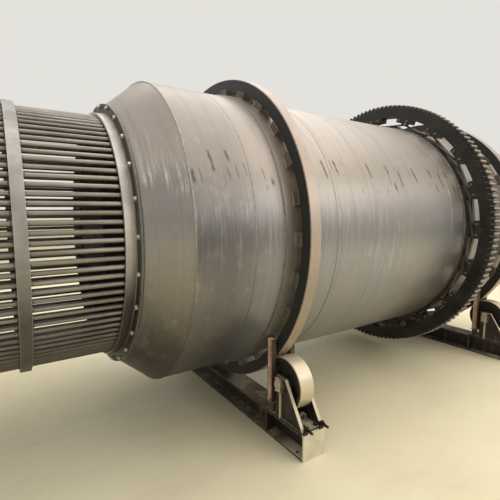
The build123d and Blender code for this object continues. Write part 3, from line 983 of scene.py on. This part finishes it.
# Fasteners and welds of the roller stations: bolts through the foot plates, four round each bearing's cover,
# and beads along the brackets, the ribs and the foot plates.
footBolts = {"across": 0.028, "head": 0.013, "washer": 0.003, "stub": 0.010, "out": 0.205, "aside": 0.050}
capBolts = {"across": 0.014, "head": 0.007, "washer": 0.0015, "out": 0.024, "up": 0.043, "cover": 0.005}
stationBead = {"width": 0.011, "height": 0.005, "pitch": 0.009, "clear": 0.0001, "lean": 0.3}
footShape = boltShape(footBolts, footBolts["stub"])
capShape = boltShape(capBolts)
plateTop = footTop - station["footPlate"]
for end, middle in stationX.items():
    feet, caps, beads = ([], []), ([], []), ([], [])
    left, right = span(f"{end}_bearing_housings")
    capX = (right - left) / 2 - capBolts["cover"]
    for side in (-1, 1):
        y = side * rollerY
        inner, outer = y - side * station["bracketIn"], y + side * station["bracketOut"]
        for hand in (-1, 1):
            outwards = Matrix.Rotation(hand * pi / 2, 4, "Y")
            for across in (-capBolts["out"], capBolts["out"]):
                for up in (-capBolts["up"], capBolts["up"]):
                    spot = (middle + hand * capX, y + across, rollerZ + up)
                    stamp(caps, capShape, Matrix.Translation(spot) @ outwards)
            spot = (middle + hand * footBolts["aside"], y + side * footBolts["out"], footTop)
            stamp(feet, footShape, Matrix.Translation(spot))
            for face, away in ((station["bracketFar"], hand), (station["bracketNear"], -hand)):
                x = middle + hand * face
                addLine(beads, (x, inner, footTop), (x, outer, footTop), (away, 0, 1), stationBead)
            x = middle + hand * (station["bracketFar"] + stationBead["clear"])
            for edge in (-1, 1):
                ribY = y + edge * station["ribHalf"]
                foot, head = (x, ribY, footTop), (x, ribY, rollerZ - station["ribTop"])
                addLine(beads, foot, head, (hand, edge, 0), stationBead)
        inner, outer = y - side * station["footIn"], y + side * station["footOut"]
        for hand in (-1, 1):
            x = middle + hand * station["footEdge"]
            leaning = (hand * stationBead["lean"], 0, 1)
            addLine(beads, (x, inner, plateTop), (x, outer, plateTop), leaning, stationBead)
    addPiece(f"{end}_foot_bolts", feet, dulled, "base", bevel=0.0008)
    addPiece(f"{end}_bearing_bolts", caps, plated, "base")
    addPiece(f"{end}_station_welds", beads, filletWeld, "base", smooth=True)
print("station pieces done")

camera = {
    "lens": 27.10,  # millimetres on a sensor 36 mm wide
    "sensor": 36,
    "place": (-1.9125, -2.935, 1.6286),
    "pitch": 6.33,  # degrees down
    "yaw": 33.71,  # degrees right of the line across the drum
    "sees": 200,  # metres
}
lensData = bpy.data.cameras.new("Camera")
lensData.lens = camera["lens"]
lensData.sensor_width = camera["sensor"]
lensData.clip_end = camera["sees"]
viewer = bpy.data.objects.new("Camera", lensData)
viewer.location = camera["place"]
viewer.rotation_euler = (radians(90 - camera["pitch"]), 0, radians(-camera["yaw"]))
bpy.context.collection.objects.link(viewer)
bpy.context.scene.camera = viewer

# Soft lamps, each with the point that it is aimed at, its size in metres and its power in watts.
lamps = {
    "Overhead lamp": {
        "place": (3.0, 0.0, 9.0),
        "aim": (2.0, 0.0, 0.0),
        "size": (16, 10),
        "power": 930,
        "tint": "#fbf8f4",
    },
    "Left lamp": {
        "place": (-7.5, -5.0, 4.0),
        "aim": (0.0, 0.0, 1.2),
        "size": (4, 4),
        "power": 20,
        "tint": "#f6f8ff",
    },
    "Rear lamp": {
        "place": (2.0, 8.0, 4.5),
        "aim": (0.5, 0.0, 2.2),
        "size": (9, 2),
        "power": 160,
        "tint": "#e6eeff",
    },
    "Front lamp": {
        "place": (4.5, -7.5, 4.8),
        "aim": (1.5, -2.2, 0.0),
        "size": (7, 3),
        "power": 210,
        "tint": "#f8f6f2",
    },
}
for name, lamp in lamps.items():
    data = bpy.data.lights.new(name, "AREA")
    data.shape = "RECTANGLE"
    data.size, data.size_y = lamp["size"]
    data.energy = lamp["power"]
    data.color = toLinear(lamp["tint"])[:3]
    light = bpy.data.objects.new(name, data)
    light.location = lamp["place"]
    towards = Vector(lamp["aim"]) - Vector(lamp["place"])
    light.rotation_euler = towards.to_track_quat("-Z", "Y").to_euler()
    bpy.context.collection.objects.link(light)

# The object is lit by a world that is darker low down, and the camera and the steel see a plain pale one.
backdrop = {"low": "#2b2b2a", "high": "#e4e1da", "fade": (0.02, 0.55), "seen": "#e4e2dc"}
world = bpy.data.worlds.new("Plain backdrop")
bpy.context.scene.world = world
world.use_nodes = True
tree = world.node_tree
tree.nodes.clear()
direction = addNode(tree, "ShaderNodeTexCoord", pick="Generated")
height = addNode(tree, "ShaderNodeSeparateXYZ", {0: direction}, 2)
lit = layered(tree, backdrop["low"], (backdrop["high"], (height, *backdrop["fade"])))
rays = addNode(tree, "ShaderNodeLightPath").node.outputs
seen = rays["Is Camera Ray"]
for kind in ("Is Glossy Ray", "Is Transmission Ray"):
    seen = addNode(tree, "ShaderNodeMath", {0: seen, 1: rays[kind]}, operation="MAXIMUM")
colour = layered(tree, lit, (backdrop["seen"], seen))
shine = addNode(tree, "ShaderNodeBackground", {"Color": colour, "Strength": 1.0})
addNode(tree, "ShaderNodeOutputWorld", {"Surface": shine})

ground = {"reach": 60, "below": 0.0005}
floorTones = {"light": "#e8dfbf", "dark": "#dcd1ae", "track": "#b9af97"}
reach = ground["reach"]
corners = [(-reach, -reach, 0), (reach, -reach, 0), (reach, reach, 0), (-reach, reach, 0)]
floorMesh = bpy.data.meshes.new("floor")
floorMesh.from_pydata(corners, [], [(0, 1, 2, 3)])
floor = bpy.data.objects.new("floor", floorMesh)
bpy.context.collection.objects.link(floor)
floorMesh.materials.append(concrete("Floated concrete floor", floorTones))
floor.location.z = -ground["below"]
bpy.context.scene.view_settings.view_transform = "Standard"
print("camera, lights and floor done")
